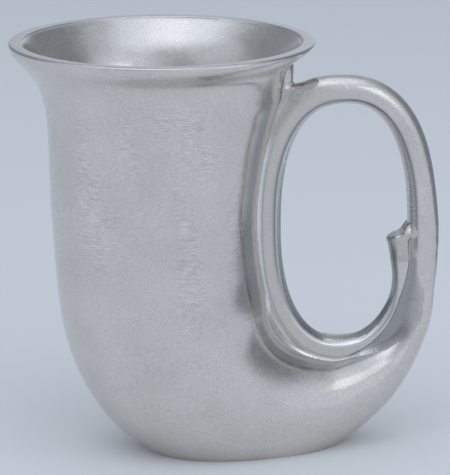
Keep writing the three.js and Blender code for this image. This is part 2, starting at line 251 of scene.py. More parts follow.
bend_reach = pivot_to_cup + 2 * bend_radius
tail_reach = pivot_shift + hole_half_width + limb_depth
bend_pace = 0.0009
bend_way = 180 * bend_pace
sample_step = 0.0001
rib_half_depth = 0.0024
rib_fillet = 0.0026
rib_top_fillet = 0.002
rib_top = (0.122, 0.128)
cup_sides = 200
rib_sides = 110
rib_spread = 30
lip_round = 0.0007
mouth_round = 0.0005
lap_gap = 0.00005

# How the surface is sampled: running means, rays, and the rows beside an edge that keep it crisp
broad_easing = 45
close_easing = 14
easing_change = (0.045, 0.065)
bore_easing = 3
ray_steps = 48
ray_halvings = 22
ray_start = 0.9
rib_ray = 0.014
crisp_row = 0.00003
edge_row = 0.0008
low_wall = (edge_row, 0.055, 62)
high_wall_start = 0.0556
high_wall_rows = 66
bore_rows = 90
round_rows = 8
merge_distance = 1e-7
sharp_angle = 50

# Dressed pewter and its grain: noise per metre, and the heights over which the tool lines come and go
satin_colour = (0.72, 0.68, 0.65)
satin_roughness = 0.19
pewter_shades = (0.74, 1.26)
speckle_scale = 2100.0
mottling_scale = 620.0
cloud_scale = 70.0
line_scale = (330.0, 330.0, 1900.0)
column_scale = (85.0, 85.0, 16.0)
column_edge = (-0.03, 0.14)
lines_begin = (0.03, 0.07)
lines_end = (0.124, 0.112)

# Each output of the grain: where it starts, and its shares of speckle, mottling, clouds and tool lines
grain_shares = {
    "Tone": (0.5, 1.0, 0.3, 0.45, 1.2),
    "Wear": (0.0, 0.0, 0.2, 0.25, 0.0),
    "Height": (0.0, 0.000012, 0.0, 0.00008, 0.00002),
}

# Columns: height and how far the rib stands out from the axis of the lip, in metres
rib_rows = [
    (0.058, 0.0255),
    (0.0715, 0.027),
    (0.09, 0.0305),
    (0.105, 0.0352),
    (0.1115, 0.0384),
    (0.118, 0.041),
    (0.133, 0.0413),
]

# Columns: height from the joint to the lip, lean, waist part, flare part and the bore's flare part
cup_shares = [
    (0, 0.1, bend_growth, 0, 0.048),
    (0.141, 0.65, 1.003, 0, 0.007),
    (0.341, 1, 1, 0, 0),
    (0.494, 0.85, 1, 0.058, 0.062),
    (0.612, 0.57, 1, 0.123, 0.131),
    (0.729, 0.2, 1, 0.226, 0.241),
    (0.788, 0.12, 1, 0.31, 0.31),
    (0.835, 0.25, 1, 0.365, 0.38),
    (0.876, 0.45, 1, 0.455, 0.475),
    (0.918, 0.62, 1, 0.61, 0.625),
    (0.953, 0.35, 1, 0.85, 0.79),
    (0.982, 0.08, 1, 0.985, 0.93),
    (1, 0, 1, 1.01, 1),
]

# Columns: angle, the loop's seat on the bend in limb widths, and the outer spiral from the tail to the cup
bend_shares = [
    (180, 0.866, 1),
    (195, 0.949, 0.947),
    (210, 0.953, 0.872),
    (225, 0.893, 0.744),
    (240, 0.803, 0.587),
    (255, 0.716, 0.442),
    (270, 0.661, 0.303),
    (285, 0.585, 0.19),
    (300, 0.551, 0.112),
    (315, 0.633, 0.051),
    (330, 0.687, 0.015),
    (345, 0.6, 0.004),
    (360, 0.42, 0),
]

# Columns: height above the joint, middle of the limb from the pivot and its radius, in metres
limb_rows = [
    (0, 0.02872, 0.00413),
    (0.012, 0.0297, 0.00435),
    (0.019, 0.0298, 0.00443),
    (0.032, 0.0298, 0.0046),
]


def on_curve(rows, column, places):
    """A column of a table on a cubic between each two rows. Its slope at a row is that of its neighbours."""
    table = np.asarray(rows, float)
    x, y = table[:, 0], table[:, column]
    slope = np.empty_like(y)
    slope[1:-1] = (y[2:] - y[:-2]) / (x[2:] - x[:-2])
    slope[0] = (y[1] - y[0]) / (x[1] - x[0])
    slope[-1] = (y[-1] - y[-2]) / (x[-1] - x[-2])
    row = np.clip(np.searchsorted(x, places) - 1, 0, len(x) - 2)
    step = x[row + 1] - x[row]
    t = np.clip((places - x[row]) / step, 0, 1)
    near = (1 + 2 * t) * (1 - t) ** 2 * y[row] + t * (1 - t) ** 2 * step * slope[row]
    return near + t * t * (3 - 2 * t) * y[row + 1] - t * t * (1 - t) * step * slope[row + 1]


def eased(values, reach):
    """Running mean with bell-shaped weights, over a number of samples each way. The ends stay in place."""
    spread = np.arange(-2 * reach, 2 * reach + 1)
    bell = np.exp(-2 * (spread / reach) ** 2)
    head = 2 * values[0] - values[2 * reach:0:-1]
    tail = 2 * values[-1] - values[-2:-2 * reach - 2:-1]
    return np.convolve(np.concatenate([head, values, tail]), bell / bell.sum(), "valid")


def smooth_step(value, low, high):
    """Rises from 0 at low to 1 at high, level at both ends."""
    t = np.clip((value - low) / (high - low), 0, 1)
    return t * t * (3 - 2 * t)


def ramp(value, span, before, after):
    """Goes smoothly from one number to another as a value crosses a span."""
    return before + (after - before) * smooth_step(value, *span)


def hole_spread(x, z):
    """Below 1 inside the loop's hole, above 1 outside: a sum of powers of the offsets from its centre."""
    across = np.abs(x - hole_x) / hole_half_width
    return across ** hole_power + (np.abs(z - hole_z) / hole_half_height) ** hole_power


def first_crossing(outside, origin, ray, reach):
    """Distance along each ray at which it first leaves a solid, by even steps and then halving."""
    steps = np.linspace(0, reach, ray_steps + 1)
    near, far = np.full(ray.shape[:-1], reach), np.full(ray.shape[:-1], reach)
    found = np.zeros(ray.shape[:-1], bool)
    for low, high in zip(steps[:-1], steps[1:]):
        fresh = outside(origin + ray * high) & ~found
        near, far = np.where(fresh, low, near), np.where(fresh, high, far)
        found |= fresh
    for _ in range(ray_halvings):
        middle = (near + far) / 2
        out = outside(origin + ray * middle[..., None])
        near, far = np.where(out, near, middle), np.where(out, middle, far)
    return far


def hole_distance(angles):
    """Distance from the pivot to the edge of the hole along rays at some angles."""
    ray = np.stack([np.cos(np.radians(angles)), np.sin(np.radians(angles))], -1)
    pivot = np.array([pivot_x, joint_height])
    return first_crossing(lambda place: hole_spread(*place.T) > 1, pivot, ray, 2 * hole_half_height)


def horn_sections():
    """Way along the horn, which is the height above the joint in the cup and below zero in the bend and limb,
    and the distance of the section's middle from the pivot and its radius there."""
    top = lip_height - joint_height
    way = np.arange(-bend_way - limb_rows[-1][0], top + sample_step / 2, sample_step)
    rise = np.clip(way / top, 0, 1)
    flare = (rim_radius - waist_radius) * on_curve(cup_shares, 3, rise)
    cup_size = waist_radius * on_curve(cup_shares, 2, rise) + flare
    meets_bend = pivot_x - pivot_to_cup - bend_radius + cup_lean * cup_shares[0][1]
    fade = 1 - smooth_step(rise, 0, cup_shares[2][0])
    cup_reach = pivot_x - meets_bend * fade + cup_lean * on_curve(cup_shares, 1, rise)
    angle = np.clip(180 - way / bend_pace, 180, 360)
    rows = np.array(bend_shares)
    rows[:, 1] = hole_distance(rows[:, 0]) + rows[:, 1] * limb_width
    rows[0, 1] = pivot_to_cup
    inside = on_curve(rows, 1, angle)
    outside = tail_reach + (bend_reach - tail_reach) * on_curve(bend_shares, 2, angle)
    up = np.clip(-way - bend_way, 0, None)
    in_cup, in_limb = way > 0, way < -bend_way
    limb_reach, limb_radius = on_curve(limb_rows, 1, up), on_curve(limb_rows, 2, up)
    reach = np.where(in_cup, cup_reach, np.where(in_limb, limb_reach, (inside + outside) / 2))
    radius = np.where(in_cup, cup_size, np.where(in_limb, limb_radius, (outside - inside) / 2))
    broad = 1 - smooth_step(way, *easing_change)
    return way, *[broad * eased(values, broad_easing) + (1 - broad) * eased(values, close_easing)
                  for values in (reach, radius)]


horn_way, horn_reach, horn_radius = horn_sections()
horn_slope = np.hypot(1, np.gradient(horn_radius, sample_step))


def radius_at(way):
    """Radius of the horn's outside along its way."""
    return np.interp(way, horn_way, horn_radius)


def horn_point(way, around, radius):
    """Points on rings about the horn: around is the angle from the side away from the pivot."""
    reach = np.interp(way, horn_way, horn_reach) + radius * np.cos(around)
    turn = np.radians(np.clip(180 - way / bend_pace, 180, 360))
    x = pivot_x + reach * np.cos(turn)
    z = joint_height + reach * np.sin(turn)
    z = z + np.where(way > 0, way, 0) + np.where(way < -bend_way, -way - bend_way, 0)
    return np.stack(np.broadcast_arrays(x, -radius * np.sin(around), z), -1)


def horn_place(x, z):
    """Way along the horn of points in the plane of the loop, and how far they lie past its middle there, seen
    from the pivot."""
    above, right, climb = z > joint_height, x > pivot_x, z - joint_height
    reach = np.where(above, np.abs(x - pivot_x), np.hypot(x - pivot_x, climb))
    angle = np.degrees(np.arctan2(climb, x - pivot_x)) % 360
    way = np.where(above, np.where(right, -bend_way - climb, climb), -(angle - 180) * bend_pace)
    return way, reach - np.interp(way, horn_way, horn_reach)


def horn_distance(x, y, z):
    """Distance from the outside of the horn: that from the middle of its section, less the radius."""
    way, past = horn_place(x, z)
    return (np.hypot(past, y) - radius_at(way)) / np.interp(way, horn_way, horn_slope)


def joined(a, b, radius):
    """Union of two distances, with the corner between them filled to a radius."""
    corner = np.hypot(np.maximum(radius - a, 0), np.maximum(radius - b, 0))
    return np.maximum(radius, np.minimum(a, b)) - corner


def ribbed_horn(x, y, z):
    """The horn with the upright rounded rib that climbs the cup to the lip, joined to it by fillets."""
    face = on_curve(rib_rows, 1, z)
    rib = np.hypot(np.maximum(x - face + rib_half_depth, 0), y) - rib_half_depth
    rib = np.maximum(rib, rib_rows[0][0] - z)
    return joined(horn_distance(x, y, z), rib, ramp(z, rib_top, rib_fillet, rib_top_fillet))


def grid_faces(rows, columns):
    """Four-sided faces between the rows of a grid of points whose columns close on themselves."""
    row, column = np.meshgrid(np.arange(rows - 1), np.arange(columns), indexing="ij")
    here, beside = row * columns + column, row * columns + (column + 1) % columns
    return np.stack([here, beside, beside + columns, here + columns], -1).reshape(-1, 4)


def new_piece(name, points, faces, material):
    """A mesh object from an array of points and a list of faces, at the origin."""
    mesh = bpy.data.meshes.new(name)
    mesh.from_pydata(points.reshape(-1, 3).tolist(), [], [list(face) for face in faces])
    mesh.materials.append(material)
    piece = bpy.data.objects.new(name, mesh)
    bpy.context.collection.objects.link(piece)
    return piece


def close_and_turn(piece):
    """Merges doubles, turns the faces outwards and marks edges above an angle as sharp."""
    work = bmesh.new()
    work.from_mesh(piece.data)
    bmesh.ops.remove_doubles(work, verts=work.verts, dist=merge_distance)
    bmesh.ops.recalc_face_normals(work, faces=work.faces)
    for face in work.faces:
        face.smooth = True
    for edge in work.edges:
        gentle = edge.calc_face_angle(0) < np.radians(sharp_angle)
        edge.smooth = bool(len(edge.link_faces) == 2 and gentle)
    work.to_mesh(piece.data)
    work.free()


def speckle(tree, vector, scale, detail=2.0):
    """Noise about zero at a number of grains to the metre."""
    noise = add_node(tree, "TexNoise", "Fac", {"Vector": vector, "Scale": scale, "Detail": detail})
    return calculate(tree, "SUBTRACT", noise, 0.5)


def stretched(tree, place, scale):
    """A place scaled along each axis by its own number."""
    return add_node(tree, "Mapping", "Vector", {"Vector": place, "Scale": scale})


def make_grain_group():
    """Grain of dressed pewter: fine blasted speckle, mottling, broad clouds, and short level tool lines that
    stand in upright columns and fade out below the cup and at its lip. Height is in metres."""
    group = bpy.data.node_groups.new("pewter_grain", "ShaderNodeTree")
    group.interface.new_socket("Lines", in_out="INPUT", socket_type="NodeSocketFloat")
    for name in grain_shares:
        group.interface.new_socket(name, in_out="OUTPUT", socket_type="NodeSocketFloat")
    given = group.nodes.new("NodeGroupInput")
    result = group.nodes.new("NodeGroupOutput")
    place = add_node(group, "TexCoord", "Object")
    height = parts_of(group, place)["Z"]
    fine = speckle(group, place, speckle_scale)
    mottling = speckle(group, place, mottling_scale)
    clouds = speckle(group, place, cloud_scale, 3.0)
    lines = speckle(group, stretched(group, place, line_scale), 1.0, 1.0)
    columns = speckle(group, stretched(group, place, column_scale), 1.0, 1.0)
    masks = [between(group, columns, column_edge), between(group, height, lines_begin),
             between(group, height, lines_end), given.outputs["Lines"]]
    for mask in masks:
        lines = calculate(group, "MULTIPLY", lines, mask)
    for name, (value, *shares) in grain_shares.items():
        for share, layer in zip(shares, (fine, mottling, clouds, lines)):
            if share:
                value = calculate(group, "MULTIPLY_ADD", layer, share, value)
        group.links.new(value, result.inputs[name])
    return group


grain_group = make_grain_group()


def make_pewter(name, colour, roughness, lines):
    """Metal whose colour runs between two shades of one grey by the grain's tone, with the grain's relief."""
    material, tree, inputs = new_material(name)
    grain = add_node(tree, "Group", "Tone", {"Lines": lines}, node_tree=grain_group).node.outputs
    dark, light = [np.array(colour) * shade for shade in pewter_shades]
    feed(tree, inputs, {
        "Metallic": 1.0,
        "Base Color": mix_colours(tree, dark, light, grain["Tone"]),
        "Roughness": calculate(tree, "ADD", grain["Wear"], roughness),
        "Normal": add_node(tree, "Bump", "Normal", {"Distance": 1.0, "Height": grain["Height"]}),
    })
    return material


satin_pewter = make_pewter("satin_pewter", satin_colour, satin_roughness, 1.0)


def bell_profile():
    """Heights and radii round the wall: over the lip, down the bore and round the counterbore."""
    top = lip_height - joint_height
    turn = np.radians(np.linspace(0, 90, round_rows)[1:])
    lip_edge = radius_at(top - lip_round) - lip_round
    lip_way, lip = top - lip_round + lip_round * np.sin(turn), lip_edge + lip_round * np.cos(turn)
    mouth_turn = np.radians(np.linspace(90, 180, round_rows))
    mouth_way = top - mouth_round + mouth_round * np.sin(mouth_turn)
    mouth = mouth_radius + mouth_round + mouth_round * np.cos(mouth_turn)
    bore_way = np.linspace(top - edge_row, joint_lap, bore_rows)
    bore_waist = waist_radius - cup_wall
    flare = eased(on_curve(cup_shares, 4, bore_way / top), bore_easing)
    bore = bore_waist + (mouth_radius - bore_waist) * flare
    lap_way = np.array([joint_lap, 0.0])
    lap = radius_at(lap_way) - cup_wall / 2
    ways = np.concatenate([lip_way, mouth_way, bore_way, lap_way])
    return ways, np.concatenate([lip, mouth, bore, lap])


def make_bell_cup():
    """Rays run outwards level at each height, from just inside the wall to where they leave the ribbed horn.
    The lip and bore are a profile carried round the same axis. The columns stand closest at the rib."""
    plain = np.linspace(rib_spread, 360 - rib_spread, cup_sides, endpoint=False)
    fine = np.linspace(-rib_spread, rib_spread, rib_sides, endpoint=False)
    around = np.radians(180 + np.concatenate([fine, plain]))
    top = lip_height - joint_height
    high_wall = high_wall_start, top - lip_round, high_wall_rows
    way = np.concatenate([[0, crisp_row], np.linspace(*low_wall), np.linspace(*high_wall)])
    radius = radius_at(way)[:, None]
    start = horn_point(way[:, None], around, ray_start * radius)
    ray = horn_point(way[:, None], around, radius) - start
    ray = ray / np.linalg.norm(ray, axis=-1, keepdims=True)
    reach = first_crossing(lambda place: ribbed_horn(*np.moveaxis(place, -1, 0)) > 0, start, ray, rib_ray)
    by_rib = np.abs(np.degrees(around) - 180) <= rib_spread
    wall = start + ray * np.where(by_rib, reach, (1 - ray_start) * radius)[..., None]
    ways, radii = bell_profile()
    points = np.concatenate([wall, horn_point(ways[:, None], around, radii[:, None]), wall[:1]])
    piece = new_piece("bell_cup_wall", points, grid_faces(*points.shape[:2]), satin_pewter)
    close_and_turn(piece)
    return piece


bell_cup_wall = make_bell_cup()
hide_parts("bell_cup")
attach(bell_cup_wall, "root")

# The bend is cast as two half shells, soldered along the plane of the loop and dressed flush. Each carries
# half of the spigot under the cup, and the underside is cut level as the foot.
bend_rows = 150
bend_columns = 96
tail_joint = 300
tail_way = -(tail_joint - 180) * bend_pace
seam_angle = 0.03
first_angle = 1.5
spigot_row = 0.00001
cut_distance = 1e-8
# Painted shade: a darker colour laid on the bend under the loop and on the loop's castings, where shade falls
painted_shade_colour = (0.27, 0.275, 0.285)
bend_shade = 0.55
bend_shade_angles = (205, 240), (290, 320)
bend_shade_girth = (0.007, 0.0155)


def read_mark(material, name):
    """The value of a mesh attribute in a material."""
    return add_node(material.node_tree, "Attribute", "Fac", attribute_name=name)


def write_mark(mesh, name, values):
    """Keeps a value for each point of a mesh as an attribute."""
    layer = mesh.attributes.new(name, "FLOAT", "POINT")
    layer.data.foreach_set("value", values.astype(np.float32))


def cover_colour(material, shade, cover):
    """Lays a shade over a material's colour, as far as a value from 0 to 1 says."""
    tree = material.node_tree
    socket = tree.nodes["Principled BSDF"].inputs["Base Color"]
    tree.links.new(mix_colours(tree, socket.links[0].from_socket, shade, cover), socket)


bend_pewter = make_pewter("bend_pewter", satin_colour, satin_roughness, 1.0)
# Painted shade under the loop darkens the bend's colour
cover_colour(bend_pewter, painted_shade_colour, read_mark(bend_pewter, "painted_shade"))


def window(value, rise, fall):
    """1 between two spans of a value: it rises smoothly over the first and falls over the second."""
    return smooth_step(value, *rise) * (1 - smooth_step(value, *fall))


def shade_under_loop(points):
    """Painted shade on the outside of the horn under the loop, where shade falls: strongest beside the loop,
    and fading round the horn's girth, towards the cup and along the limb."""
    x, y, z = np.moveaxis(points, -1, 0)
    way, past = horn_place(x, z)
    girth = np.arctan2(np.abs(y), -past) * radius_at(way)
    outside = np.hypot(past, y) > radius_at(way) - cup_wall / 2
    along = window(180 - way / bend_pace, *bend_shade_angles)
    return bend_shade * along * (1 - smooth_step(girth, *bend_shade_girth)) * outside


def cut_level(piece, height, keep_above):
    """Cuts a closed mesh at a height and closes the cut."""
    work = bmesh.new()
    work.from_mesh(piece.data)
    geometry = work.verts[:] + work.edges[:] + work.faces[:]
    cut = bmesh.ops.bisect_plane(work, geom=geometry, dist=cut_distance, plane_co=(0, 0, height),
                                 plane_no=(0, 0, 1), clear_inner=keep_above, clear_outer=not keep_above)
    edges = [item for item in cut["geom_cut"] if isinstance(item, bmesh.types.BMEdge)]
    bmesh.ops.triangle_fill(work, edges=edges, use_beauty=True)
    work.to_mesh(piece.data)
    work.free()


def half_shell(name, side):
    """Half rings outside and inside the wall, closed along both rims, carried from the tail to the spigot."""
    wall_ways = np.linspace(tail_way + edge_row, -edge_row, bend_rows)
    ways = np.concatenate([[tail_way, tail_way + crisp_row], wall_ways, [-crisp_row, 0.0],
                           [spigot_row, joint_lap / 2, joint_lap]])
    radius = radius_at(ways)[:, None]
    sunk = (ways > 0)[:, None] * (cup_wall / 2 + lap_gap)
    span = np.linspace(first_angle, 180 - first_angle, bend_columns)
    around = np.radians(np.concatenate([[0.0, seam_angle], span, [180 - seam_angle, 180.0]])) * side
    outer = horn_point(ways[:, None], around, radius - sunk)
    inner = horn_point(ways[:, None], around[::-1], radius - cup_wall)
    points = np.concatenate([outer, inner], 1)
    rows, columns = points.shape[:2]
    step = np.arange(columns // 2 - 1)
    rim = np.stack([step, step + 1, columns - 2 - step, columns - 1 - step], -1)
    faces = np.concatenate([grid_faces(rows, columns), rim, rim + (rows - 1) * columns])
    piece = new_piece(name, points, faces, bend_pewter)
    close_and_turn(piece)
    cut_level(piece, 0.0, True)
    close_and_turn(piece)
    places = np.empty(len(piece.data.vertices) * 3, np.float32)
    piece.data.vertices.foreach_get("co", places)
    write_mark(piece.data, "painted_shade", shade_under_loop(places.reshape(-1, 3)))
    return piece


bend_front_shell = half_shell("bend_front_shell", 1)
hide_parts("bend_front")
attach(bend_front_shell, "root")
bend_back_shell = half_shell("bend_back_shell", -1)
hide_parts("bend_back")
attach(bend_back_shell, "root")

# The foot plate is a flat piece of pewter let into the underside. The walls lean in under it and hold it. The
# bulkhead is a plain disc across the bore, out of sight. Both are left unpolished and darker.
foot_fit = 0.00005
foot_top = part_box("foot_plate")[1][2]
dark_colour = (0.55, 0.53, 0.51)
dark_roughness = 0.42
dark_pewter = make_pewter("dark_pewter", dark_colour, dark_roughness, 0.0)


def make_foot_plate():
    """The inside of the bend, drawn in by the fit and cut level at the foot and at the plate's top."""
    ways = np.linspace(tail_way, 0.0, bend_rows)
    around = np.linspace(0, 2 * np.pi, 2 * bend_columns, endpoint=False)
    points = horn_point(ways[:, None], around, (radius_at(ways) - cup_wall - foot_fit)[:, None])
    rows, columns = points.shape[:2]
    faces = grid_faces(rows, columns).tolist()
    faces += [list(range(columns)), list(range((rows - 1) * columns, rows * columns))]
    piece = new_piece("foot_plate_disc", points, faces, dark_pewter)
    close_and_turn(piece)
    cut_level(piece, 0.0, True)
    cut_level(piece, foot_top, False)
    close_and_turn(piece)
    return piece


foot_plate_disc = make_foot_plate()
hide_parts("foot_plate")
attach(foot_plate_disc, "root")
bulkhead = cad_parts["tail_bulkhead"]
bulkhead.data.materials.clear()
bulkhead.data.materials.append(dark_pewter)

# The arch is a solid casting: the tail and limb, and the arch over the fingers to the cup. The loop's section
# is a shallow round on the hole side, a flat face each side with a crisp edge, and a half round on the far
# side. Its flat faces stay as cast, pitted and duller, and its round is dressed like the horn.
limb_low = -29
limb_angle = -26
limb_change = (0.06, 0.068)
arch_steady = 88
arch_joint = 112
edge_round = 0.00025
bury = 0.0008
under_face = 0.0001
same_face = 1e-7
web_half_depth = 0.003
web_round = 0.0028
web_near = 0.002
web_start = 92
web_end = 130
web_pace = 0.0007
web_thins = (0.113, 0.118)
web_fillet = 0.0018
web_top_fillet = 0.0008
map_step = 0.0005
map_x = np.arange(0.024, 0.0925, map_step)
map_z = np.arange(0.018, 0.134, map_step)
map_angles = np.arange(0, 360, 0.4)
map_end = 1.001
slope_reach = 0.00002
hollow_reach = 0.0006
millimetre = 0.001
fan_edge = 0.35
tail_rows = 130
tail_fan = 66.0
tail_gap = 0.00001
tail_row = 0.0006
tail_top = 0.0125
limb_sections = 250
root_sections = 110
short_ray = 0.012
long_ray = 0.02
cast_colour = (0.68, 0.63, 0.59)
cast_cover = 0.7
cast_roughness = 0.14
cast_lines = 0.6
pit_scale = 2600.0
pit_edge = (0.08, 0.2)
pit_shade = 0.75
pit_depth = 0.00003
# Painted highlights: a lighter colour where edges and faces catch the light
painted_highlight_colour = (0.9, 0.91, 0.93)

# Marks on the loop: the spans of angle over which each comes and goes, in degrees
cup_side = (118, 138), (262, 290)
root_side = (97, 110), (118, 138)
round_highlight_side = (112, 130), (225, 250)
hole_shade_side = (235, 255), (284, 296)
limb_shade_angles = (50, 75)
deep_side = (60, 85)
stem_side = (262, 280)
arch_cast = (78, 98)
arch_marks = (-30, -20)
bottom = (272, 36)

# Marks on the loop: where each lies, as a span or a middle and a width, and how strong it is
cast_facing = (0.94, 0.975)
cast_end = (0.66, 0.72)
bottom_shift = 0.05
edge_place = (0.0003, 0.00032)
rim_place = (0.695, 0.035)
# Painted shade: strengths of the darker rim, the shade behind the loop and at its root, in hollows and on the
# hole side
rim_shade = 0.5
behind_place = (0.85, 0.95), (1.08, 1.25)
behind_shade = 0.35
root_place = (0.98, 1.1), (1.35, 1.7)
root_shade = 0.4
deep_place = (0.35, 1.5)
hollow_shade = 0.6
hole_shade_place = (-0.0002, 0.0003)
hole_shade = 0.45
limb_shade = 0.3
# Painted highlights: the strengths of the lighter round, face, crisp edge and far edge of the stem
round_highlight_place = (0.0004, 0.0009)
round_highlight = 0.6
face_highlight_place = (0.855, 0.06)
face_highlight_facing = 0.1
far_facing = (0.72, 0.15)
far_width = 0.0002
far_depth = (0.0033, 0.0037)
far_highlight = 0.9
parting_width = 0.0011
parting_facing = 0.3
parting_mark = 0.6

# Columns: share of the way from the hole side to the far side at the first and last ray, and number of rays
fan_parts = [
    (0, 0.32, 12),
    (0.335, 0.365, 9),
    (0.375, 0.8, 56),
    (0.81, 1, 20),
]

# Columns: angle, inner side, outer side, half depth, depth of the round, and squareness of the far side
loop_shares = [
    (-34, 0.2, 1, 0.85, 0.28, 2),
    (-26, 0.1, 1.15, 0.965, 0.29, 2),
    (-11, 0.06, 1.145, 0.985, 0.3, 2),
    (-4, 0.05, 1.14, 1, 0.3, 2),
    (0, 0.05, 1.13, 1, 0.3, 2),
    (30, 0.04, 1.04, 1, 0.29, 2),
    (60, 0.015, 1, 1, 0.26, 2),
    (90, 0, 0.99, 1, 0.24, 2),
    (112, 0, 1, 1, 0.29, 2.1),
    (135, 0, 1.08, 1, 0.33, 2.2),
    (180, 0, 1.12, 1, 0.33, 2.2),
    (225, 0, 1.06, 1, 0.31, 2.4),
    (245, 0, 1, 1, 0.28, 2.6),
    (255, 0, 1, 1, 0.26, 3),
    (264, -0.01, 0.9, 1, 0.26, 5),
    (276, -0.054, 0.49, 0.98, 0.25, 8),
    (284, -0.11, 0.31, 0.93, 0.23, 8),
    (294, -0.14, 0.2, 0.88, 0.21, 8),
    (303, -0.155, 0.14, 0.82, 0.17, 8),
    (313, -0.26, 0.15, 0.8, 0.15, 8),
    (324, -0.43, 0.17, 0.8, 0.17, 8),
    (329, -0.49, 0.15, 0.8, 0.2, 6),
    (336, -0.575, 0.12, 0.83, 0.24, 5),
    (342, -0.665, 0.105, 0.87, 0.28, 5),
    (350, -0.72, 0.1, 0.87, 0.3, 5),
]

# Columns: angle and the web's reach from the hole's edge, in limb widths
root_shares = [
    (90, 0.8),
    (97, 0.93),
    (99, 1.01),
    (102, 1.07),
    (104, 1.2),
    (106, 1.45),
    (108, 1.65),
    (130, 1.2),
]

# Columns: angle and the radius of the fillet between the loop and the horn, in metres
fillet_rows = [
    (92, 0.002),
    (105, 0.0024),
    (125, 0.002),
    (180, 0.0015),
    (215, 0.0012),
    (240, 0.0009),
    (262, 0.0008),
    (290, 0.0004),
]


def hole_edge(angles):
    """Points on the edge of the hole at some angles about its centre, and the directions away from it."""
    rays = np.radians(angles)
    x, z = np.cos(rays), np.sin(rays)
    scale = hole_spread(hole_x + x, hole_z + z) ** (-1 / hole_power)
    x, z = x * scale, z * scale
    away_x = np.sign(x) * np.abs(x / hole_half_width) ** (hole_power - 1) / hole_half_width
    away_z = np.sign(z) * np.abs(z / hole_half_height) ** (hole_power - 1) / hole_half_height
    size = np.hypot(away_x, away_z)
    return hole_x + x, hole_z + z, away_x / size, away_z / size


def edge_maps():
    """Offset from the hole's edge and the nearest point of it, over a grid in the plane of the loop."""
    x, z, away_x, away_z = hole_edge(map_angles)
    at_x, at_z = map_x[:, None], map_z[None, :]
    nearest = np.argmin((at_x[..., None] - x) ** 2 + (at_z[..., None] - z) ** 2, -1)
    x, z, away_x, away_z = x[nearest], z[nearest], away_x[nearest], away_z[nearest]
    offset = (at_x - x) * away_x + (at_z - z) * away_z
    return np.stack([offset, at_x - offset * away_x - hole_x, at_z - offset * away_z - hole_z])


edge_map = edge_maps()


def along_edge(x, z):
    """Offset of points from the hole's edge and their angle on it, read between the samples of the maps."""
    column = np.clip((x - map_x[0]) / map_step, 0, len(map_x) - map_end)
    row = np.clip((z - map_z[0]) / map_step, 0, len(map_z) - map_end)
    i, j = column.astype(int), row.astype(int)
    s, t = column - i, row - j
    value = ((1 - s) * (1 - t) * edge_map[:, i, j] + s * (1 - t) * edge_map[:, i + 1, j]
             + (1 - s) * t * edge_map[:, i, j + 1] + s * t * edge_map[:, i + 1, j + 1])
    return value[0], np.degrees(np.arctan2(value[2], value[1]))


def common(a, b, radius):
    """Overlap of two distances, with the edge between them rounded to a radius."""
    corner = np.hypot(np.maximum(radius + a, 0), np.maximum(radius + b, 0))
    return np.minimum(-radius, np.maximum(a, b)) + corner


def bar_sides(offset, y, angle):
    """Distances from the two sides of the loop's own section: the shallow round on the hole side, and the
    flat faces with the rounded far side."""
    inner, outer, depth, sink, power = [on_curve(loop_shares, column, angle) for column in range(1, 6)]
    inner, outer, sink = inner * limb_width, outer * limb_width, sink * limb_width
    half = depth * limb_depth / 2
    bulge = (half ** 2 + sink ** 2) / (2 * sink)
    inside = np.hypot(np.minimum(offset - inner - bulge, 0), y) - bulge
    end = np.minimum(half, (outer - inner) / 2)
    far = np.clip((offset - outer + end) / end, 0, None)
    return inside, ((far ** power + (np.abs(y) / half) ** power) ** (1 / power) - 1) * end


def bar_distance(offset, y, angle):
    """Distance from the loop's own section, whose two sides meet in a crisp edge."""
    return common(*bar_sides(offset, y, angle), edge_round)


def limb_distance(x, y, z, offset, angle):
    """Distance from the round limb on the far side: the horn's own low down, the loop's half round above."""
    angle = np.maximum(angle, limb_angle)
    outer = on_curve(loop_shares, 2, angle) * limb_width
    half = on_curve(loop_shares, 3, angle) * limb_depth / 2
    high = np.hypot(offset - outer + half, y) - half
    return ramp(z, limb_change, horn_distance(x, y, z), high)


def fillet_at(angle):
    """Radius of the fillet between the loop and the horn at an angle."""
    return np.interp(angle, *np.transpose(fillet_rows))


def root_field(x, y, z):
    """The loop where it meets the cup: its section and the web behind it, joined to the ribbed horn by
    fillets that shrink towards the bottom of the loop. Returns this and the horn that carries it."""
    offset, angle = along_edge(x, z)
    angle = angle % 360
    carrier = ribbed_horn(x, y, z)
    past_web = offset - on_curve(root_shares, 1, angle) * limb_width
    web = common(np.abs(y) - web_half_depth, past_web, web_round)
    past_ends = np.maximum(web_start - angle, angle - web_end) * web_pace
    web = np.maximum(web, np.maximum(web_near - offset, past_ends))
    carried = joined(carrier, web, ramp(z, web_thins, web_fillet, web_top_fillet))
    return joined(carried, bar_distance(offset, y, angle), fillet_at(angle)), carrier


def arch_field(x, y, z):
    """The limb and arch away from the cup: the round limb, out of which the loop's own section rises. Nothing
    carries it, so the carrier is everywhere outside."""
    offset, angle = along_edge(x, z)
    limb = limb_distance(x, y, z, offset, angle)
    return np.minimum(limb, bar_distance(offset, y, angle)), np.ones_like(limb)


def slopes(field, points):
    """Unit direction in which a field grows fastest, from its differences along the three axes."""
    x, y, z = np.moveaxis(points, -1, 0)
    grow = np.stack([field(x + a, y + b, z + c) - field(x - a, y - b, z - c)
                     for a, b, c in np.eye(3) * slope_reach], -1)
    return grow / np.linalg.norm(grow, axis=-1, keepdims=True)


def hollowness(field, points):
    """How strongly a surface curves inwards, per millimetre: the mean of a field around a point, from its six
    neighbours along the axes, less the field there."""
    x, y, z = np.moveaxis(points, -1, 0)
    total = -6 * field(x, y, z)
    for a, b, c in np.eye(3) * hollow_reach:
        total += field(x + a, y + b, z + c) + field(x - a, y - b, z - c)
    return -total / hollow_reach ** 2 * millimetre


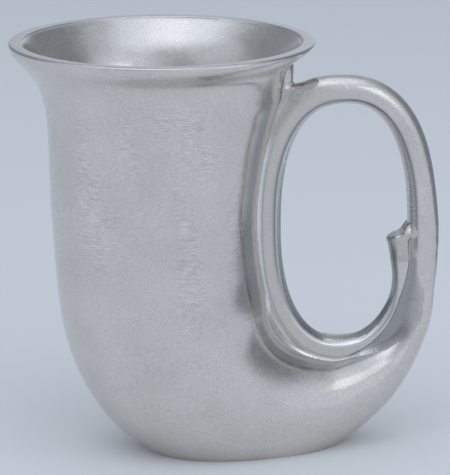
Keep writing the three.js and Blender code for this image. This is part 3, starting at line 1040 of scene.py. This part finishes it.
def fan(edge_angle):
    """Angles of the rays in each section, from the hole side round to it, finely near the crisp edge."""
    share = np.concatenate([np.linspace(*part) for part in fan_parts])
    share = np.concatenate([share, -share[-2:0:-1]])
    size, edge_angle = np.abs(share)[None, :], edge_angle[:, None]
    past = (size - fan_edge) / (1 - fan_edge)
    turn = np.where(size < fan_edge, size / fan_edge * edge_angle, edge_angle + past * (180 - edge_angle))
    return np.radians(turn) * np.sign(share)[None, :]


def section_rays(angles):
    """Rays that fan out in the loop's section at each angle, and the section's middle, where they start."""
    x, z, away_x, away_z = hole_edge(angles)
    inner, outer, depth, sink = [on_curve(loop_shares, column, angles) for column in range(1, 5)]
    half = depth * limb_depth / 2
    middle = outer * limb_width - np.minimum(half, (outer - inner) * limb_width / 2)
    turn = fan(np.degrees(np.arctan2(half, middle - (inner + sink) * limb_width)))
    ray = -np.stack([away_x[:, None] * np.cos(turn), np.sin(turn), away_z[:, None] * np.cos(turn)], -1)
    origin = np.stack([x + away_x * middle, np.zeros(len(x)), z + away_z * middle], -1)
    return origin[:, None, :], ray


def skin(field, origin, ray, reach):
    """Points where rays leave a field, or a little way inside what carries it, with the field's own normals
    and its hollowness there. Where the field is only its carrier, the skin stays just under that face."""
    def outside(place):
        whole, carrier = field(*np.moveaxis(place, -1, 0))
        whole = whole + under_face * (np.abs(whole - carrier) < same_face)
        return np.maximum(whole, -(carrier + bury)) > 0

    points = origin + ray * first_crossing(outside, origin, ray, reach)[..., None]

    def surface(x, y, z):
        return field(x, y, z)[0]

    return points, slopes(surface, points), hollowness(surface, points)


def hump(value, middle, width):
    """A bell-shaped rise to 1 about a middle."""
    return np.exp(-((value - middle) / width) ** 2)


def finish_marks(points, normals, hollow):
    """Three marks from 0 to 1. As cast are the flat faces, beside the cup only up to a rim. Painted shade
    darkens the hollows, the crisp edge of the hole, that rim, the parts behind the loop and at its root, and
    the round at the bottom and on the limb. Painted highlights lighten the face past the rim, the round
    beside the cup, the crisp edge along the bottom and the far edge of the stem."""
    offset, angle = along_edge(points[..., 0], points[..., 2])
    lowest_angle = loop_shares[0][0]
    angle = (angle - lowest_angle) % 360 + lowest_angle
    round_side, flat_side = bar_sides(offset, points[..., 1], angle)
    past_edge, facing = round_side - flat_side, np.abs(normals[..., 1])
    beside_cup, along_bottom = window(angle, *cup_side), hump(angle, *bottom)
    share = offset / limb_width
    far_half = share > (on_curve(loop_shares, 1, angle) + on_curve(loop_shares, 2, angle)) / 2
    share = share + bottom_shift * along_bottom
    as_cast = smooth_step(facing, *cast_facing) * (1 - smooth_step(share, *cast_end) * beside_cup)
    edge = hump(past_edge, *edge_place)
    rim = hump(share, *rim_place) * beside_cup * rim_shade
    behind = window(share, *behind_place) * beside_cup * behind_shade
    root = window(share, *root_place) * window(angle, *root_side) * root_shade
    deep = smooth_step(hollow, *deep_place) * smooth_step(angle, *deep_side) * hollow_shade
    hole_shading = np.maximum(window(angle, *hole_shade_side) * hole_shade, ramp(angle, limb_shade_angles, limb_shade, 0))
    hole_shading = hole_shading * smooth_step(past_edge, *hole_shade_place)
    painted_shade = np.max([edge * (1 - along_bottom), rim, behind + root, deep, hole_shading], 0)
    round_lit = smooth_step(past_edge, *round_highlight_place) * window(angle, *round_highlight_side) * round_highlight
    face = hump(share, *face_highlight_place) * beside_cup * (facing > face_highlight_facing)
    far = hump(facing, *far_facing) * hump(flat_side, 0, far_width) * far_half * far_highlight
    far = far * smooth_step(angle, *stem_side) * smooth_step(np.abs(points[..., 1]), *far_depth)
    return as_cast, painted_shade, np.max([face, edge * along_bottom, far, round_lit], 0)


def gathered(*skins):
    """Skins joined row by row: their points, normals and three marks, and their offset from the hole's edge
    and angle on it."""
    points, normals, hollow = [np.concatenate(parts) for parts in zip(*skins)]
    edge = along_edge(points[..., 0], points[..., 2])
    return points, normals, *finish_marks(points, normals, hollow), *edge


def skin_piece(name, points, normals, marks, middles):
    """One closed mesh from rows of points, capped at both ends from the middles of the end rows, with the
    fields' own normals. The attribute as_cast is 1 where the skin of the casting is left as it came, the
    second mark is 1 where the colour carries full painted shade, and the third is 1 where it carries a full
    painted highlight."""
    rows, columns = points.shape[:2]
    end_normals = np.stack([points[0].mean(0) - points[1].mean(0), points[-1].mean(0) - points[-2].mean(0)])
    end_normals = end_normals / np.linalg.norm(end_normals, axis=-1, keepdims=True)
    ring = np.arange(columns)
    after = (ring + 1) % columns
    first, last_row = np.full(columns, rows * columns), (rows - 1) * columns
    caps = np.concatenate([np.stack([after, ring, first], -1),
                           np.stack([last_row + ring, last_row + after, first + 1], -1)])
    wall = grid_faces(rows, columns)
    points, normals = points.reshape(-1, 3), normals.reshape(-1, 3)
    across = points[wall[:, 2]] - points[wall[:, 0]], points[wall[:, 3]] - points[wall[:, 1]]
    if np.median((np.cross(*across) * normals[wall[:, 0]]).sum(-1)) < 0:
        wall, caps = wall[:, ::-1], caps[:, ::-1]
    piece = new_piece(name, np.concatenate([points, middles]), wall.tolist() + caps.tolist(), cast_pewter)
    piece.data.polygons.foreach_set("use_smooth", [True] * len(piece.data.polygons))
    piece.data.normals_split_custom_set_from_vertices(np.concatenate([normals, end_normals]).tolist())
    for title, mark in zip(("as_cast", "painted_shade", "painted_highlight"), marks):
        write_mark(piece.data, title, np.concatenate([mark.ravel(), [0.0, 0.0]]))
    return piece


def make_cast_pewter():
    """Dressed pewter that turns into the skin of the casting where the attribute as_cast says: warmer, duller
    and pitted, each pit the low part of a noise. Two more attributes darken it as painted shade and lighten
    it as painted highlights."""
    material = make_pewter("cast_pewter", satin_colour, satin_roughness, cast_lines)
    tree = material.node_tree
    inputs = tree.nodes["Principled BSDF"].inputs
    as_cast = read_mark(material, "as_cast")
    pits = speckle(tree, add_node(tree, "TexCoord", "Object"), pit_scale, 1.0)
    pits = calculate(tree, "MULTIPLY", between(tree, pits, pit_edge), as_cast)
    cover_colour(material, cast_colour, calculate(tree, "MULTIPLY", as_cast, cast_cover))
    cover_colour(material, np.array(cast_colour) * pit_shade, pits)
    # Painted shade and painted highlights: a darker and a lighter colour laid on where the marks say
    cover_colour(material, painted_shade_colour, read_mark(material, "painted_shade"))
    cover_colour(material, painted_highlight_colour, read_mark(material, "painted_highlight"))
    height = inputs["Normal"].links[0].from_node.inputs["Height"]
    for mark, amount, socket in ((as_cast, cast_roughness, inputs["Roughness"]), (pits, -pit_depth, height)):
        value = calculate(tree, "MULTIPLY_ADD", mark, amount, socket.links[0].from_socket)
        tree.links.new(value, socket)
    return material


cast_pewter = make_cast_pewter()


def make_loop_arch():
    """The tail and limb as rings about the horn, then the arch and its root as sections of the loop."""
    limb_ways = np.linspace(tail_way - tail_row, -bend_way - tail_top, tail_rows)
    way = np.concatenate([[tail_way - tail_gap], limb_ways])
    tail = horn_point(way[:, None], np.pi - fan(np.full(len(way), tail_fan)), radius_at(way)[:, None])
    tail_skin = tail, slopes(horn_distance, tail), np.zeros(tail.shape[:2])
    limb_rays = section_rays(np.linspace(limb_low, arch_steady, limb_sections))
    origin, ray = section_rays(np.linspace(arch_steady, arch_joint, root_sections))
    points, normals, as_cast, painted_shade, painted_highlight, _, angle = gathered(
        tail_skin, skin(arch_field, *limb_rays, short_ray), skin(root_field, origin[1:], ray[1:], long_ray))
    parting = hump(points[..., 1], 0, parting_width) * (normals[..., 0] > parting_facing) * parting_mark
    as_cast = np.maximum(as_cast * smooth_step(angle, *arch_cast), parting)
    on_arch = smooth_step(angle, *arch_marks)
    # Painted shade from the loop's marks and from under the loop, and painted highlights, on the arch casting
    marks = as_cast, np.maximum(painted_shade * on_arch, shade_under_loop(points)), painted_highlight * on_arch
    middles = tail[0].mean(0), origin[-1, 0]
    return skin_piece("loop_arch_casting", points, normals, marks, middles)


loop_arch_casting = make_loop_arch()
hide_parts("loop_arch")
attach(loop_arch_casting, "root")

# The return is the rest of the loop, one casting seated along the cup and the bend: down the cup, round the
# bottom and up as a thin stem against the limb, to which a recessed web ties it.
stem_start = 250
stem_end = 329
run_sections = 270
stem_sections = 200
stem_web_start = 262
stem_web_pace = 0.0004
stem_web_half_depth = 0.003
stem_web_near = 0.0002
stem_web_far = 0.0084
stem_web_fillet = 0.002
stem_end_fillet = 0.0006
stem_closes = (300, 325)
stem_cast_fades = (290, 322)
stem_cast_end = 0.5

# Painted shade on the web and on the hole side of the stem: where each lies, over which angles, and how
# strong it is
web_shade_edge = (-0.0002, 0.0003)
web_shade_margin = 0.0002
web_shade_spread = 0.0025
web_shade_end_spread = 0.0008
web_shade_angles = (268, 285)
web_shade = 0.7
side_shade_edge = (-0.0004, 0.0002)
side_shade_angles = (278, 296)
side_shade_fades = (330, 342)
side_shade = 0.85
side_end_shade = 0.5


def stem_web(offset, y):
    """Distance from the recessed web between the stem and the limb."""
    ends = np.maximum(stem_web_near - offset, offset - stem_web_far)
    return np.maximum(np.abs(y) - stem_web_half_depth, ends)


def stem_field(x, y, z):
    """The thin stem and the recessed web behind it, joined to the tail below and to the limb above."""
    offset, angle = along_edge(x, z)
    angle = angle % 360
    on_limb = (x > pivot_x) & (z > joint_height)
    carrier = np.where(on_limb, limb_distance(x, y, z, offset, angle - 360), horn_distance(x, y, z))
    web = np.maximum(stem_web(offset, y), (stem_web_start - angle) * stem_web_pace)
    carried = joined(carrier, web, ramp(angle, stem_closes, stem_web_fillet, stem_end_fillet))
    return joined(carried, bar_distance(offset, y, angle), fillet_at(angle)), carrier


def stem_shade(points):
    """Painted shade on the recessed web, which is past the stem's far side and nearer the middle than its
    flat face, and on the side of the stem towards the hole."""
    offset, angle = along_edge(points[..., 0], points[..., 2])
    angle = np.minimum(angle % 360, loop_shares[-1][0])
    spread = ramp(angle, stem_closes, web_shade_spread, web_shade_end_spread)
    depth = np.abs(points[..., 1]) - stem_web_half_depth
    web = smooth_step(offset - on_curve(loop_shares, 2, angle) * limb_width, *web_shade_edge)
    web = web * (1 - smooth_step(depth, web_shade_margin, spread)) * smooth_step(angle, *web_shade_angles)
    round_side, flat_side = bar_sides(offset, points[..., 1], angle)
    side = smooth_step(round_side - flat_side, *side_shade_edge) * smooth_step(angle, *side_shade_angles)
    return np.maximum(web * web_shade, side * ramp(angle, side_shade_fades, side_shade, side_end_shade))


def make_loop_return():
    """The seated run and the stem as sections of the loop. The web behind the stem carries painted shade."""
    run_origin, run_ray = section_rays(np.linspace(arch_joint, stem_start, run_sections))
    stem_origin, stem_ray = section_rays(np.linspace(stem_start, stem_end, stem_sections))
    points, normals, as_cast, painted_shade, painted_highlight, _, angle = gathered(
        skin(root_field, run_origin, run_ray, long_ray),
        skin(stem_field, stem_origin[1:], stem_ray[1:], long_ray))
    as_cast = as_cast * ramp(angle % 360, stem_cast_fades, 1, stem_cast_end)
    # Painted shade on the web and the stem's hole side joins the loop's own painted shade
    marks = as_cast, np.maximum(painted_shade, stem_shade(points)), painted_highlight
    middles = run_origin[0, 0], stem_origin[-1, 0]
    return skin_piece("loop_return_casting", points, normals, marks, middles)


loop_return_casting = make_loop_return()
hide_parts("loop_return")
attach(loop_return_casting, "root")

# The mouthpiece is the small flared end of the stem, cast apart and pegged into it. Its top slopes up to the
# limb, and the same recessed web ties it to the limb.
tip_angle = 342
tip_limit = -10
tip_x = 0.0719
tip_z = 0.0679
tip_slope = np.radians(20.0)
tip_round = 0.0011
tip_fillet = 0.0004
lug_fillet = 0.0026
lug_rise = (0.0665, 0.069)
lug_web_fillet = 0.0006
web_top_x = 0.0779
web_top_z = 0.0722
web_top_fall = (0.187, 0.982)
tip_sections = 60
dome_sections = 60
dome_tilt = 89
# Where the painted shade fades out near the tip, and the levels of as-cast skin, painted shade and painted
# highlights
tip_shade_ends = (0.0022, 0.003)
tip_marks = (0.5, 0.6, 0.3)


def web_top(x, z):
    """Distance above the recessed web's top edge, just over the mouthpiece, which falls to the right."""
    return (x - web_top_x) * web_top_fall[0] + (z - web_top_z) * web_top_fall[1]


def mouthpiece_field(x, y, z):
    """The flared end of the stem under its sloping top, with the web, joined to the limb. A wider fillet at
    the top makes the lug."""
    offset, angle = along_edge(x, z)
    limb = limb_distance(x, y, z, offset, angle)
    top = (z - tip_z) * np.cos(tip_slope) - (x - tip_x) * np.sin(tip_slope)
    body = common(bar_distance(offset, y, np.minimum(angle, tip_limit) + 360), top, tip_round)
    carrier = np.minimum(limb, bar_distance(offset, y, angle))
    carried = joined(carrier, np.maximum(stem_web(offset, y), web_top(x, z)), lug_web_fillet)
    return joined(carried, body, ramp(z, lug_rise, tip_fillet, lug_fillet)), carrier


def make_mouthpiece():
    """The flared end as sections of the loop, then a dome of rays that tilt up to the middle of its top."""
    origin, ray = section_rays(np.linspace(stem_end, tip_angle, tip_sections))
    tilt = np.radians(np.linspace(0, dome_tilt, dome_sections))[1:, None, None]
    up = np.array([-np.sin(tip_slope), 0, np.cos(tip_slope)])
    dome = np.cos(tilt) * ray[-1] + np.sin(tilt) * up
    dome = dome / np.linalg.norm(dome, axis=-1, keepdims=True)
    origin = np.concatenate([origin, np.repeat(origin[-1:], len(tilt), 0)])
    points, normals, *marks, offset, _ = gathered(
        skin(mouthpiece_field, origin, np.concatenate([ray, dome]), short_ray))
    as_cast, painted_shade, painted_highlight = [mark * level for mark, level in zip(marks, tip_marks)]
    # Painted shade, fading out past the tip, joined by the stem's painted shade
    painted_shade = np.maximum(painted_shade * (1 - smooth_step(offset, *tip_shade_ends)), stem_shade(points))
    middles = origin[0, 0], points[-1].mean(0)
    return skin_piece("mouthpiece_casting", points, normals, (as_cast, painted_shade, painted_highlight), middles)


mouthpiece_casting = make_mouthpiece()
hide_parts("mouthpiece")
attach(mouthpiece_casting, "root")
